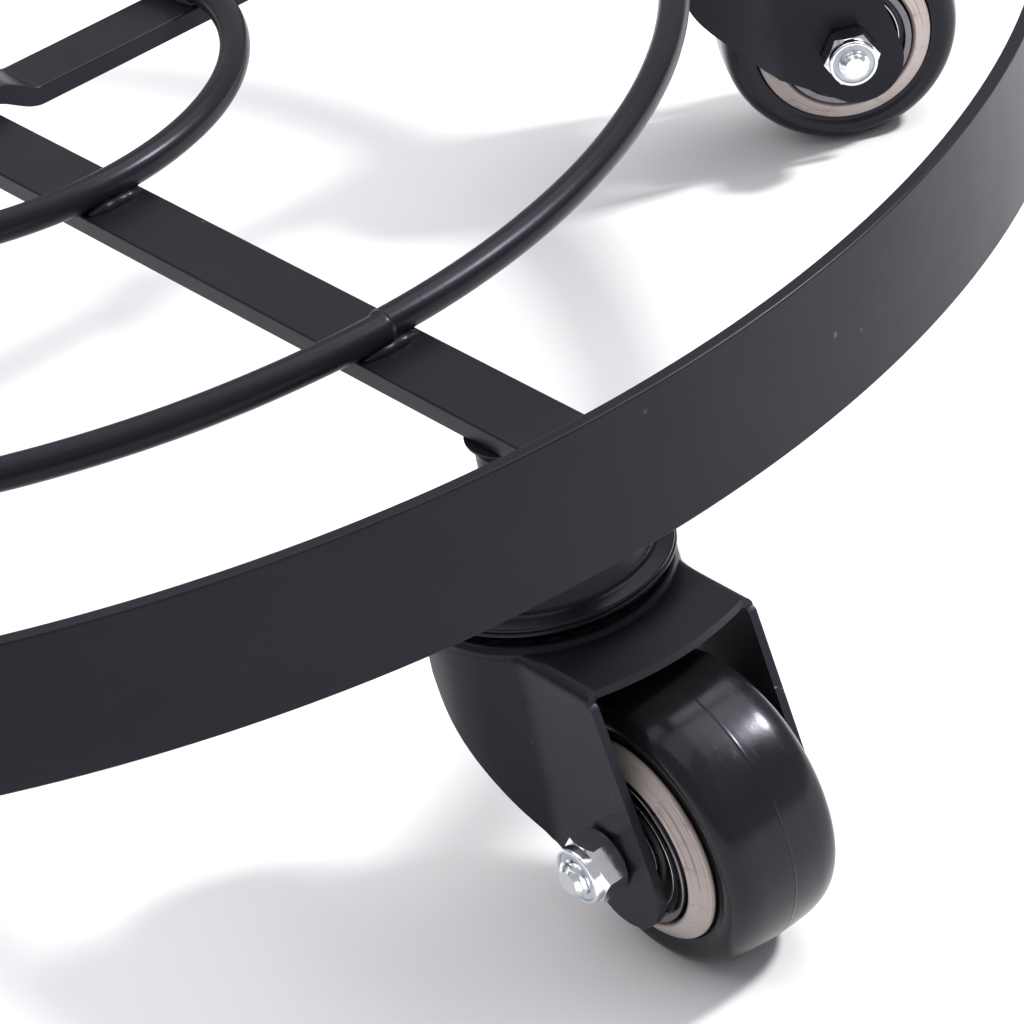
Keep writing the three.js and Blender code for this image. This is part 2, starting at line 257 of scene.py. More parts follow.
def mark_edges(mesh):
    """Writes how steeply the faces meet at each point to the attribute "edge", for worn corners."""
    bm = bmesh.new()
    bm.from_mesh(mesh)
    steepness = [0.0] * len(bm.verts)
    for edge in bm.edges:
        if len(edge.link_faces) == 2:
            angle = edge.calc_face_angle(0.0)
            for vertex in edge.verts:
                steepness[vertex.index] = max(steepness[vertex.index], angle)
    bm.free()
    attribute = mesh.attributes.new("edge", "FLOAT", "POINT")
    attribute.data.foreach_set("value", [min(1.0, s / math.radians(20)) for s in steepness])


def add_piece(name, mesh, material, body, nodes=(), place=None):
    """Puts a mesh in the scene as a piece that rides on a body and stands for its CAD nodes."""
    piece = bpy.data.objects.new(name, mesh)
    bpy.context.scene.collection.objects.link(piece)
    if not mesh.materials:
        mesh.materials.append(material)
    if place is not None:
        piece.matrix_world = place
    normals = piece.modifiers.new("even_normals", "WEIGHTED_NORMAL")
    normals.keep_sharp = True
    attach(piece, body)
    if nodes:
        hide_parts(*nodes)
    return piece


# ---- Material helpers ------------------------------------------------------------------
class Shader:
    """A material with a Principled shader, and short ways to add texture nodes to it."""

    def __init__(self, name, place=None):
        """The textures' place is the object's own coordinates, or the named attribute of the mesh."""
        self.material = bpy.data.materials.new(name)
        self.material.use_nodes = True
        self.nodes = self.material.node_tree.nodes
        self.links = self.material.node_tree.links
        self.surface = self.nodes["Principled BSDF"]
        if place is None:
            self.place = self.nodes.new("ShaderNodeTexCoord").outputs["Object"]
        else:
            node = self.nodes.new("ShaderNodeAttribute")
            node.attribute_name = place
            self.place = node.outputs["Vector"]

    def link(self, source, target):
        self.links.new(source, target)

    def set(self, **values):
        """Sets constants on the shader's own sockets, by their names with underscores."""
        for socket, value in values.items():
            self.surface.inputs[socket.replace("_", " ")].default_value = value

    def noise(self, scale, detail=3.0, roughness=0.55, stretch=None):
        """Cloudy noise from 0 to 1, scale features per metre; stretch multiplies the place first."""
        node = self.nodes.new("ShaderNodeTexNoise")
        node.inputs["Scale"].default_value = scale
        node.inputs["Detail"].default_value = detail
        node.inputs["Roughness"].default_value = roughness
        source = self.place
        if stretch:
            mapping = self.nodes.new("ShaderNodeMapping")
            mapping.inputs["Scale"].default_value = stretch
            self.link(self.place, mapping.inputs["Vector"])
            source = mapping.outputs["Vector"]
        self.link(source, node.inputs["Vector"])
        return node.outputs["Fac"]

    def specks(self, spacing, size):
        """1 on small scattered dots: spacing between them and size across, in metres."""
        node = self.nodes.new("ShaderNodeTexVoronoi")
        node.inputs["Scale"].default_value = 1 / spacing
        self.link(self.place, node.inputs["Vector"])
        return self.between(node.outputs["Distance"], size / spacing, 0.4 * size / spacing)

    def between(self, value, low, high, to_low=0.0, to_high=1.0):
        """Maps value so that low gives to_low and high gives to_high, clamped."""
        node = self.nodes.new("ShaderNodeMapRange")
        node.inputs["From Min"].default_value = low
        node.inputs["From Max"].default_value = high
        node.inputs["To Min"].default_value = to_low
        node.inputs["To Max"].default_value = to_high
        self.link(value, node.inputs["Value"])
        return node.outputs["Result"]

    def math(self, operation, first, second=None):
        node = self.nodes.new("ShaderNodeMath")
        node.operation = operation
        for socket, value in zip(node.inputs, (first, second)):
            if isinstance(value, (int, float)):
                socket.default_value = value
            elif value is not None:
                self.link(value, socket)
        return node.outputs["Value"]

    def blend(self, factor, first, second):
        """Mixes two colours, or a colour with another node's colour, by factor."""
        node = self.nodes.new("ShaderNodeMix")
        node.data_type = "RGBA"
        self.link(factor, node.inputs["Factor"])
        for socket, value in ((node.inputs["A"], first), (node.inputs["B"], second)):
            if isinstance(value, tuple):
                socket.default_value = (*value, 1.0)
            else:
                self.link(value, socket)
        return node.outputs["Result"]

    def axis_distance(self, second_axis):
        """Distance from the Y axis if second_axis is Z, or from the Z axis if it is Y."""
        split = self.nodes.new("ShaderNodeSeparateXYZ")
        self.link(self.place, split.inputs["Vector"])
        squared = self.math("MULTIPLY", split.outputs["X"], split.outputs["X"])
        other = self.math("MULTIPLY", split.outputs[second_axis], split.outputs[second_axis])
        return self.math("SQRT", self.math("ADD", squared, other))

    def circles(self, radius, scale, detail=2.0):
        """Noise from 0 to 1 that changes with the radius only; scale is in features per metre."""
        node = self.nodes.new("ShaderNodeTexNoise")
        node.noise_dimensions = "1D"
        node.inputs["Scale"].default_value = scale
        node.inputs["Detail"].default_value = detail
        self.link(radius, node.inputs["W"])
        return node.outputs["Fac"]

    def attribute(self, name):
        node = self.nodes.new("ShaderNodeAttribute")
        node.attribute_name = name
        return node.outputs["Fac"]

    def bump(self, height, distance, strength=1.0, after=None):
        """Adds a bump of that many metres, on top of an earlier one."""
        node = self.nodes.new("ShaderNodeBump")
        node.inputs["Distance"].default_value = distance
        node.inputs["Strength"].default_value = strength
        self.link(height, node.inputs["Height"])
        if after is not None:
            self.link(after, node.inputs["Normal"])
        return node.outputs["Normal"]

    def finish(self, colour=None, roughness=None, metallic=None, normal=None):
        for socket, value in (
            ("Base Color", colour),
            ("Roughness", roughness),
            ("Metallic", metallic),
            ("Normal", normal),
        ):
            if value is not None:
                self.link(value, self.surface.inputs[socket])
        return self.material


# ---- Materials -------------------------------------------------------------------------
def black_paint(name, chipped=False, roughness=0.3):
    """Semi-gloss black powder coat: orange peel, lint, and bare steel where corners are chipped."""
    shader = Shader(name)
    clouds = shader.noise(60, 4)
    colour = shader.blend(clouds, (0.0065, 0.006, 0.008), (0.014, 0.013, 0.0165))
    lint = shader.specks(9 * MM, 0.5 * MM)
    lint = shader.math("MULTIPLY", lint, shader.between(shader.noise(70, 1), 0.52, 0.6))
    colour = shader.blend(lint, colour, (0.07, 0.068, 0.075))
    gloss = shader.between(shader.noise(45, 5, 0.65), 0.25, 0.75, roughness - 0.06, roughness + 0.1)
    wave = shader.bump(shader.noise(240, 2), 0.00004, 0.5)
    peel = shader.bump(shader.noise(1500, 2), 0.000012, 0.8, after=wave)
    pimples = shader.bump(lint, 0.00008, 0.6, after=peel)
    metallic = None
    if chipped:
        bare = shader.between(shader.noise(420, 3, 0.6), 0.66, 0.69)
        bare = shader.math("MULTIPLY", bare, shader.between(shader.noise(75, 2), 0.5, 0.58))
        bare = shader.math("MULTIPLY", bare, shader.between(shader.attribute("edge"), 0.5, 0.9))
        colour = shader.blend(bare, colour, (0.42, 0.4, 0.38))
        metallic = shader.math("MULTIPLY", bare, 0.8)
    shader.set(IOR=1.5, Specular_IOR_Level=0.18, Specular_Tint=(0.86, 0.82, 1.0, 1.0))
    return shader.finish(colour, gloss, metallic, pimples)


def tyre_rubber(name):
    """Moulded solid tyre: glossy black with faint scuffs round the tread."""
    shader = Shader(name, place="unturned")
    clouds = shader.noise(130, 4)
    colour = shader.blend(clouds, (0.0055, 0.0055, 0.0062), (0.0125, 0.012, 0.0135))
    scuffs = shader.between(shader.noise(260, 6, 0.7, stretch=(1, 5, 1)), 0.6, 0.78)
    colour = shader.blend(scuffs, colour, (0.022, 0.0215, 0.023))
    gloss = shader.between(shader.noise(160, 5, 0.6), 0.3, 0.7, 0.16, 0.26)
    gloss = shader.math("ADD", gloss, shader.math("MULTIPLY", scuffs, 0.12))
    soft = shader.bump(shader.noise(180, 3), 0.00006, 0.5)
    grain = shader.bump(shader.noise(2600, 2), 0.000006, 0.7, after=soft)
    shader.set(IOR=1.52, Specular_IOR_Level=0.25, Specular_Tint=(0.87, 0.84, 1.0, 1.0))
    return shader.finish(colour, gloss, None, grain)


def seal_rubber(name):
    """Black bearing seal: satin rubber with fine moulded rings."""
    shader = Shader(name)
    colour = shader.blend(shader.noise(300, 4), (0.006, 0.006, 0.0065), (0.018, 0.018, 0.019))
    gloss = shader.between(shader.noise(500, 3), 0.3, 0.7, 0.38, 0.56)
    normal = shader.bump(shader.noise(1800, 3), 0.00001, 0.8)
    return shader.finish(colour, gloss, None, normal)


def core_plastic(name):
    """Grey-beige moulded core: mottled, stained in patches along circles, darker by the bearing: painted
    shade on the bore wall round the set-back bearing, with a brown stain line.
    """
    shader = Shader(name)
    radius = shader.axis_distance("Z")
    mottled = shader.blend(shader.noise(170, 5, 0.65), (0.31, 0.262, 0.245), (0.47, 0.42, 0.395))
    specked = shader.between(shader.noise(420, 5, 0.7, stretch=(1, 0.4, 1)), 0.55, 0.68)
    colour = shader.blend(shader.math("MULTIPLY", specked, 0.75), mottled, (0.24, 0.165, 0.145))
    patches = shader.between(shader.noise(85, 3, 0.6), 0.44, 0.6)
    circled = shader.between(shader.circles(radius, 1500, 3), 0.46, 0.62)
    stain = shader.math("MULTIPLY", shader.math("MULTIPLY", patches, circled), 0.8)
    colour = shader.blend(stain, colour, (0.2, 0.14, 0.12))
    # painted shade: the bore wall and its edge by the set-back bearing are darkened brown; this also
    # stands for a brown stain line there
    bore_shade_and_stain = shader.between(radius, BEARING_RADIUS + 0.75 * MM, BEARING_RADIUS + 0.3 * MM)
    colour = shader.blend(shader.math("MULTIPLY", bore_shade_and_stain, 0.75), colour, (0.16, 0.105, 0.085))
    outer = shader.between(radius, FLANGE_RADIUS - 0.25 * MM, FLANGE_RADIUS)
    colour = shader.blend(shader.math("MULTIPLY", outer, 0.5), colour, (0.2, 0.17, 0.15))
    gloss = shader.between(shader.noise(260, 4), 0.3, 0.7, 0.28, 0.45)
    normal = shader.bump(shader.noise(900, 3), 0.00002, 0.6)
    return shader.finish(colour, gloss, None, normal)


def zinc(name):
    """Bright zinc plate: bluish white, slightly uneven."""
    shader = Shader(name)
    colour = shader.blend(shader.noise(420, 4), (0.74, 0.77, 0.8), (0.93, 0.94, 0.95))
    gloss = shader.between(shader.noise(700, 5, 0.65), 0.3, 0.7, 0.1, 0.22)
    wave = shader.bump(shader.noise(500, 2), 0.00003, 0.6)
    normal = shader.bump(shader.noise(3500, 2), 0.000006, 0.8, after=wave)
    shader.set(Metallic=1.0)
    return shader.finish(colour, gloss, None, normal)


def turned_steel(name, dark, light):
    """Ground bearing steel between two tones, with fine rings from turning."""
    shader = Shader(name)
    radius = shader.axis_distance("Z")
    colour = shader.blend(shader.noise(350, 4), dark, light)
    gloss = shader.between(shader.noise(600, 4), 0.3, 0.7, 0.16, 0.3)
    normal = shader.bump(shader.circles(radius, 9000), 0.000004, 0.8)
    shader.set(Metallic=1.0)
    return shader.finish(colour, gloss, None, normal)


def nylon(name):
    """Milky nylon locking ring."""
    shader = Shader(name)
    colour = shader.blend(shader.noise(700, 3), (0.5, 0.56, 0.62), (0.68, 0.72, 0.76))
    normal = shader.bump(shader.noise(1500, 3), 0.00001, 0.6)
    shader.set(Roughness=0.4, Subsurface_Weight=0.15)
    shader.surface.inputs["Subsurface Radius"].default_value = (0.001, 0.001, 0.001)
    return shader.finish(colour, None, None, normal)


PAINT = black_paint("black_paint")
CHIPPED_PAINT = black_paint("black_paint_chipped", chipped=True)
CAP_PAINT = black_paint("black_paint_glossy", roughness=0.24)
WELD_PAINT = black_paint("black_paint_weld", roughness=0.27)
RUBBER = tyre_rubber("tyre_rubber")
SEAL = seal_rubber("bearing_seal")
CORE = core_plastic("core_plastic")
ZINC = zinc("zinc_plate")
STEEL = turned_steel("bearing_steel", (0.4, 0.4, 0.42), (0.6, 0.6, 0.62))
# painted shade: a darker copy of the bearing steel for the races set back in the core and the sleeve
# between the fork legs
SHADED_STEEL = turned_steel("bearing_steel_painted_shade", (0.12, 0.11, 0.13), (0.2, 0.19, 0.22))
NYLON = nylon("nylon")


# ---- Frame: hoop, bars and rings -------------------------------------------------------
def make_hoop():
    """The band with its four edges rolled round."""
    inner = HOOP_RADIUS - BAND
    profile = rounded([
        (inner, HOOP_BOTTOM, EDGE),
        (HOOP_RADIUS, HOOP_BOTTOM, EDGE),
        (HOOP_RADIUS, HOOP_TOP, EDGE),
        (inner, HOOP_TOP, EDGE),
    ])
    mesh = turned("hoop_band", profile, 320)
    add_piece("hoop_band", mesh, PAINT, "frame", ["hoop"])


def bar_section():
    half = (BAR_TOP - BAR_BOTTOM) / 2
    return rounded([
        (-BAR_HALF_WIDTH, -half, EDGE),
        (BAR_HALF_WIDTH, -half, EDGE),
        (BAR_HALF_WIDTH, half, EDGE),
        (-BAR_HALF_WIDTH, half, EDGE),
    ])


def make_straight_bar():
    reach = HOOP_RADIUS - BAND
    middle = (BAR_TOP + BAR_BOTTOM) / 2
    across, up = Vector((0, 1, 0)), Vector((0, 0, 1))
    stations = [(Vector((x, 0, middle)), across, up) for x in np.linspace(-reach, reach, 33)]
    mesh = swept("straight_bar", bar_section(), stations)
    add_piece("straight_bar", mesh, PAINT, "frame", ["cross_bar_straight"])


def make_joggled_bar():
    """The bar that steps up over the straight one, with soft bends."""
    reach = HOOP_RADIUS - BAND
    middle = (BAR_TOP + BAR_BOTTOM) / 2
    flat, foot = 5.6 * MM, 13.4 * MM

    def height(y):
        t = min(1.0, max(0.0, (foot - abs(y)) / (foot - flat)))
        return middle + BAR_STEP * t * t * (3 - 2 * t)

    around = np.linspace(-16 * MM, 16 * MM, 65)
    places = [*np.linspace(-reach, around[0], 13)[:-1], *around, *np.linspace(around[-1], reach, 13)[1:]]
    stations = []
    for y in places:
        slope = (height(y + 0.01 * MM) - height(y - 0.01 * MM)) / (0.02 * MM)
        up = Vector((0, -slope, 1)).normalized()
        stations.append((Vector((0, y, height(y))), Vector((-1, 0, 0)), up))
    mesh = swept("joggled_bar", bar_section(), stations)
    add_piece("joggled_bar", mesh, PAINT, "frame", ["cross_bar_joggled"])


def wire_section(radius, sides=24):
    turn = 2 * math.pi / sides
    return [(radius * math.cos(k * turn), radius * math.sin(k * turn)) for k in range(sides)]


def make_wire_ring(name, node, radius, seam_angle):
    """A bent wire whose two ends are butted over a bar, a little out of line with each other."""
    steps = 300
    height = large_low.z + WIRE_RADIUS
    mismatch = 0.35 * MM
    settle = 14 * MM / radius
    gap = 0.12 * MM / radius
    stations = []
    for k in range(steps + 1):
        run = gap + (2 * math.pi - 2 * gap) * k / steps
        off = math.exp(-run / settle) - math.exp(-(2 * math.pi - run) / settle)
        angle = seam_angle + run
        outwards = Vector((math.cos(angle), math.sin(angle), 0))
        place = outwards * (radius - mismatch * off) + Vector((0, 0, height))
        stations.append((place, outwards, Vector((0, 0, 1))))
    wire = swept(name, wire_section(WIRE_RADIUS), stations)
    add_piece(name, wire, PAINT, "frame", [node])
    filled = []
    for k in range(9):
        along = (k / 8 - 0.5) * 1.5 * MM
        angle = seam_angle + along / radius
        outwards = Vector((math.cos(angle), math.sin(angle), 0))
        place = outwards * radius + Vector((0, 0, height))
        swell = 0.97 + 0.09 * math.cos(math.pi * along / (1.5 * MM))
        filled.append([
            tuple(place + outwards * a * swell + Vector((0, 0, u * swell)))
            for a, u in wire_section(WIRE_RADIUS)
        ])
    add_piece(f"{name}_joint", skin(f"{name}_joint", filled), WELD_PAINT, "frame")


# ---- Welds -----------------------------------------------------------------------------
def bead(points, radius, seed):
    """A faintly rippled weld bead along points, tapering at its ends."""
    rng = np.random.default_rng(seed)
    count = len(points)
    phase = rng.uniform(0, 2 * math.pi)
    loops = []
    travelled = 0.0
    for i, place in enumerate(points):
        ahead = points[min(i + 1, count - 1)]
        behind = points[max(i - 1, 0)]
        along = (ahead - behind).normalized()
        side = along.cross(Vector((0, 0, 1))).normalized()
        up = side.cross(along)
        ripple = 1 + BEAD_RIPPLE * math.sin(travelled / BEAD_PITCH * 2 * math.pi + phase)
        end = min(1.0, 0.35 + 2.6 * min(i, count - 1 - i) / count)
        size = radius * ripple * end * (1 + rng.normal(0, BEAD_ROUGHNESS))
        loops.append([tuple(place + side * a + up * u) for a, u in wire_section(size, 12)])
        travelled += (ahead - place).length
    return skin("bead", loops)


def line(start, end, count=26):
    return [start.lerp(end, k / (count - 1)) for k in range(count)]


def make_ring_welds():
    """A bead on each side of each wire ring wherever it crosses a bar."""
    aside, half, size = 1.45 * MM, 4.3 * MM, 1.15 * MM
    height = BAR_TOP + 0.05 * MM
    beads = []
    for ring, radius in enumerate((SMALL_RING_RADIUS, LARGE_RING_RADIUS)):
        for quarter in range(4):
            turn = Matrix.Rotation(quarter * math.pi / 2, 4, "Z")
            for side in (-1, 1):
                x = radius + side * aside
                start = turn @ Vector((x, -half, height))
                end = turn @ Vector((x, half, height))
                seed = ring * 8 + quarter * 2 + side + 1
                beads.append(bead(line(start, end), size, seed))
    add_piece("ring_welds", joined("ring_welds", beads), WELD_PAINT, "frame")


def make_hoop_welds():
    """Beads under each bar end and up its two sides, against the hoop."""
    under_size, side_size = 1.3 * MM, 0.8 * MM
    beads = []
    x = HOOP_RADIUS - BAND - 0.4 * MM
    low = BAR_BOTTOM - 0.15 * MM
    y = BAR_HALF_WIDTH + 0.2 * MM
    for quarter in range(4):
        turn = Matrix.Rotation(quarter * math.pi / 2, 4, "Z")
        under = line(turn @ Vector((x, -y, low)), turn @ Vector((x, y, low)), 36)
        beads.append(bead(under, under_size, 30 + quarter))
        for side in (-1, 1):
            foot = turn @ Vector((x - 0.1 * MM, side * y, BAR_BOTTOM))
            top = turn @ Vector((x + 0.1 * MM, side * y, BAR_TOP - 0.4 * MM))
            beads.append(bead(line(foot, top, 12), side_size, 40 + quarter * 2 + side))
    add_piece("hoop_welds", joined("hoop_welds", beads), WELD_PAINT, "frame")


def make_crossing_weld():
    """Short beads where the joggled bar lies on the straight one."""
    beads = []
    for side in (-1, 1):
        x = side * (BAR_HALF_WIDTH + 0.1 * MM)
        height = BAR_TOP + 0.15 * MM
        start, end = Vector((x, -3.4 * MM, height)), Vector((x, 3.4 * MM, height))
        beads.append(bead(line(start, end), 0.6 * MM, 60 + side))
    add_piece("crossing_welds", joined("crossing_welds", beads), WELD_PAINT, "frame")


# ---- Swivel head -----------------------------------------------------------------------
def kingpin_mesh():
    head_top = FORK_TOP - SHEET - 0.3 * MM
    profile = rounded([
        (2.2 * MM, PIN_BOTTOM + 0.35 * MM, 0),
        (4.2 * MM, PIN_BOTTOM, 0),
        (6.4 * MM, PIN_BOTTOM + 0.3 * MM, 0.9 * MM),
        (6.4 * MM, head_top, 0.2 * MM),
        (PIN_RADIUS, head_top, 0),
        (PIN_RADIUS, CAP_TOP + 0.2 * MM, 0),
        (STEM_RADIUS, CAP_TOP + 0.2 * MM, 0.4 * MM),
        (STEM_RADIUS - 0.1 * MM, BAR_BOTTOM - 1.6 * MM, 1.2 * MM),
        (STEM_RADIUS + 0.9 * MM, BAR_BOTTOM - 0.3 * MM, 0.3 * MM),
        (STEM_RADIUS + 0.9 * MM, BAR_BOTTOM, 0),
    ], closed=False)
    return turned("kingpin", profile, 64, wrap=False)


def cap_mesh():
    """The pressed cap: flat top, round shoulder, dished wall, and a folded rim with a fine groove."""
    hole = PIN_RADIUS + 0.3 * MM
    low = RIM_BOTTOM
    profile = rounded([
        (hole, CAP_TOP - SHEET, 0),
        (11.4 * MM, CAP_TOP - SHEET, 1.8 * MM),
        (13.2 * MM, low + 1.9 * MM, 0.6 * MM),
        (15.6 * MM, low, 0.4 * MM),
        (RIM_RADIUS, low, 0.25 * MM),
        (RIM_RADIUS, low + 0.5 * MM, 0.1 * MM),
        (RIM_RADIUS - 0.4 * MM, low + 0.65 * MM, 0.05 * MM),
        (RIM_RADIUS - 0.15 * MM, low + 0.8 * MM, 0.1 * MM),
        (RIM_RADIUS - 0.15 * MM, low + 1.2 * MM, 0.25 * MM),
        (14.9 * MM, low + 1.7 * MM, 0.9 * MM),
        (14.1 * MM, CAP_TOP, 2.6 * MM),
        (hole, CAP_TOP, 0),
    ], steps=8)
    return turned("swivel_cap", profile, 128)


def balls_mesh():
    """Loose balls in a ring, each a little smaller than the ring's own section."""
    bm = bmesh.new()
    ball_low, ball_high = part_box("caster_1_ball_ring")
    radius = (ball_high.z - ball_low.z) / 2
    track = ball_high.y - 1.3 * MM
    count = int(2 * math.pi * track / (2.12 * radius))
    for k in range(count):
        angle = 2 * math.pi * k / count
        x, y = track * math.cos(angle), track * math.sin(angle)
        place = Matrix.Translation((x, y, ball_low.z + radius))
        bmesh.ops.create_icosphere(bm, subdivisions=3, radius=radius * 0.98, matrix=place)
    mesh = bpy.data.meshes.new("ball_race")
    bm.to_mesh(mesh)
    bm.free()
    return outward(mesh)


# ---- Fork ------------------------------------------------------------------------------
def fork_outline():
    """The cheeks' rear and front edges from the side, as (height, x) lists that rise."""
    def end_point(angle):
        height = FORK_END_Z + FORK_END_RADIUS * math.sin(angle)
        return (height, FORK_END_X + FORK_END_RADIUS * math.cos(angle))

    rear = [end_point(angle) for angle in np.radians(np.linspace(-91, -112, 5))]
    corners = in_mm([(FORK_REAR / MM, 38), (-0.8, 31.7), (5.5, 23.5), (10.6, 16.8)])
    rear += [(z, x) for x, z in reversed(curve_through(corners, steps=7))]
    rear.append((FORK_TOP, FORK_REAR))
    front = [end_point(angle) for angle in np.linspace(math.radians(-89), FORK_LEAN, 22)]
    front.append((FORK_TOP, FORK_FRONT))
    return rear, front


def smooth_step(low, high, value):
    t = min(1.0, max(0.0, (value - low) / (high - low)))
    return t * t * (3 - 2 * t)


def cheek_half_width(x):
    """The sheet's middle from the wheel's plane: round about the swivel axis, then flat."""
    flat = FORK_HALF_WIDTH - SHEET / 2
    radius = PAN_RADIUS - SHEET / 2
    round_part = math.sqrt(max(0.0, radius**2 - x**2))
    crease = 0.7 * MM
    return 0.5 * (flat + round_part + math.hypot(flat - round_part, crease))


def fork_sheet_mesh():
    """The bent sheet: a middle surface over both cheeks and the top, thickened, its cut edges eased."""
    rear, front = fork_outline()
    columns = 30
    lowest_bend = FORK_TOP - FORK_BEND - 0.3 * MM
    heights = sorted({round(z, 6) for z, _ in rear + front if z < lowest_bend} | {lowest_bend})
    side_rows = []
    for z in heights:
        places = np.linspace(np.interp(z, *zip(*rear)), np.interp(z, *zip(*front)), columns)
        side_rows.append([(x, cheek_half_width(x), z) for x in places])
    along_top = np.linspace(FORK_REAR, FORK_FRONT, columns)
    for k in range(7):
        angle = k * math.pi / 12
        row = []
        for x in along_top:
            bend = RIM_BEND + (FORK_BEND - RIM_BEND) * smooth_step(8 * MM, 15 * MM, x) - SHEET / 2
            z = FORK_TOP - SHEET / 2 - bend * (1 - math.sin(angle))
            row.append((x, cheek_half_width(x) - bend * (1 - math.cos(angle)), z))
        side_rows.append(row)
    plate_rows = []
    for part in np.linspace(1, -1, 17)[1:-1]:
        # The flat top starts ahead of the kingpin; the pan closes the space round the pin.
        aside = side_rows[-1][0][1] * part
        start = math.sqrt(PIN_CLEAR**2 - aside**2) if abs(aside) < PIN_CLEAR else FORK_REAR
        squeeze = (FORK_FRONT - start) / (FORK_FRONT - FORK_REAR)
        bulge = FORK_NOSE * (1 - part**2) / (FORK_FRONT - FORK_REAR)
        plate_rows.append([
            (start + (x - FORK_REAR) * (squeeze + bulge), y * part, z) for x, y, z in side_rows[-1]
        ])
    other_side = [[(x, -y, z) for x, y, z in row] for row in reversed(side_rows)]
    rows = side_rows + plate_rows + other_side
    vertices = [vertex for row in rows for vertex in row]
    faces = []
    for r in range(len(rows) - 1):
        for c in range(columns - 1):
            a = r * columns + c
            faces.append((a, a + 1, a + columns + 1, a + columns))
    mesh = bpy.data.meshes.new("fork_sheet")
    mesh.from_pydata(vertices, [], faces)
    sheet = bpy.data.objects.new("fork_sheet_maker", mesh)
    bpy.context.scene.collection.objects.link(sheet)
    thick = sheet.modifiers.new("thickness", "SOLIDIFY")
    thick.thickness = SHEET
    thick.offset = 0
    thick.use_even_offset = True
    eased = sheet.modifiers.new("eased_edges", "BEVEL")
    eased.width = 0.2 * MM
    eased.segments = 3
    eased.limit_method = "ANGLE"
    eased.angle_limit = math.radians(55)
    depsgraph = bpy.context.evaluated_depsgraph_get()
    made = bpy.data.meshes.new_from_object(sheet.evaluated_get(depsgraph))
    bpy.data.objects.remove(sheet)
    made = outward(made)
    mark_edges(made)
    return made


def fork_pan_mesh():
    """The round top of the fork with the raised lip that keeps the balls in."""
    hole = PIN_RADIUS + 0.3 * MM
    under = FORK_TOP - SHEET
    profile = rounded([
        (hole, under, 0),
        (PAN_RADIUS, under, 0.5 * MM),
        (PAN_RADIUS, FORK_TOP - 0.1 * MM, 0.4 * MM),
        (PAN_RADIUS - 0.45 * MM, LIP_TOP, 0.5 * MM),
        (PAN_RADIUS - 1.9 * MM, LIP_TOP, 0.5 * MM),
        (PAN_RADIUS - 2.6 * MM, FORK_TOP + 0.05 * MM, 0.3 * MM),
        (hole, FORK_TOP + 0.05 * MM, 0),
    ], steps=5)
    mesh = turned("fork_pan", profile, 128)
    mark_edges(mesh)
    return mesh


# ---- Axle ------------------------------------------------------------------------------
def hex_radius(angle, across_flats):
    """Distance from a hexagon's middle to its side in a direction."""
    sector = (angle + math.pi / 6) % (math.pi / 3) - math.pi / 6
    return across_flats / 2 / math.cos(sector)


def hex_loop(across_flats, height, face_radius, inwards):
    """
    A loop round a hexagon where a 30 degree chamfer from face_radius meets its sides.
    inwards is +1 or -1 in Y.
    """
    loop = []
    for k in range(144):
        angle = 2 * math.pi * k / 144
        reach = hex_radius(angle + math.pi / 6, across_flats)
        drop = max(0.0, reach - face_radius) * math.tan(math.radians(30))
        loop.append((reach * math.cos(angle), height + inwards * drop, -reach * math.sin(angle)))
    return loop


def bolt_head_mesh():
    """Low domed head on the +Y side with a hexagon socket."""
    seat = NUT_SEAT
    height = BOLT_HEAD_END - seat
    land = 2.3 * MM
    socket = 3 * MM
    dome = height * 0.7
    loops = [circle(BOLT_RADIUS, seat, 144, "Y"), circle(BOLT_HEAD_RADIUS - 0.15 * MM, seat, 144, "Y")]
    for k in range(9):
        angle = k * math.pi / 16
        reach = land + (BOLT_HEAD_RADIUS - land) * math.cos(angle)
        loops.append(circle(reach, BOLT_HEAD_END - dome * (1 - math.sin(angle)), 144, "Y"))
    loops.append(hex_loop(socket, BOLT_HEAD_END, socket, -1))
    loops.append(hex_loop(socket, BOLT_HEAD_END - 0.15 * MM, socket, -1))
    loops.append(hex_loop(socket, seat + 0.3 * MM, socket, -1))
    return skin("bolt_head", loops)


def bolt_shank_mesh():
    """Shank from the head to the threaded end, with a real screw thread where it shows past the nut."""
    threaded = NUT_SEAT + NUT_HEIGHT - 2.2 * MM
    tip = BOLT_TAIL
    depth = 0.42 * MM
    chamfer = 0.8 * MM
    loops = [circle(BOLT_RADIUS, NUT_SEAT + 0.5 * MM, 72, "Y"), circle(BOLT_RADIUS, -threaded, 72, "Y")]
    steps = 64
    for i in range(steps + 1):
        along = threaded + (tip - threaded) * i / steps
        loop = []
        for k in range(72):
            angle = 2 * math.pi * k / 72
            wave = abs(((along / THREAD_PITCH + k / 72) % 1.0) * 2 - 1)
            reach = BOLT_RADIUS - depth * min(1.0, max(0.0, 1.25 * wave - 0.1))
            reach = min(reach, BOLT_RADIUS - max(0.0, along - (tip - chamfer)) * 1.05)
            loop.append((reach * math.cos(angle), -along, -reach * math.sin(angle)))
        loops.append(loop)
    return skin("bolt_shank", loops)


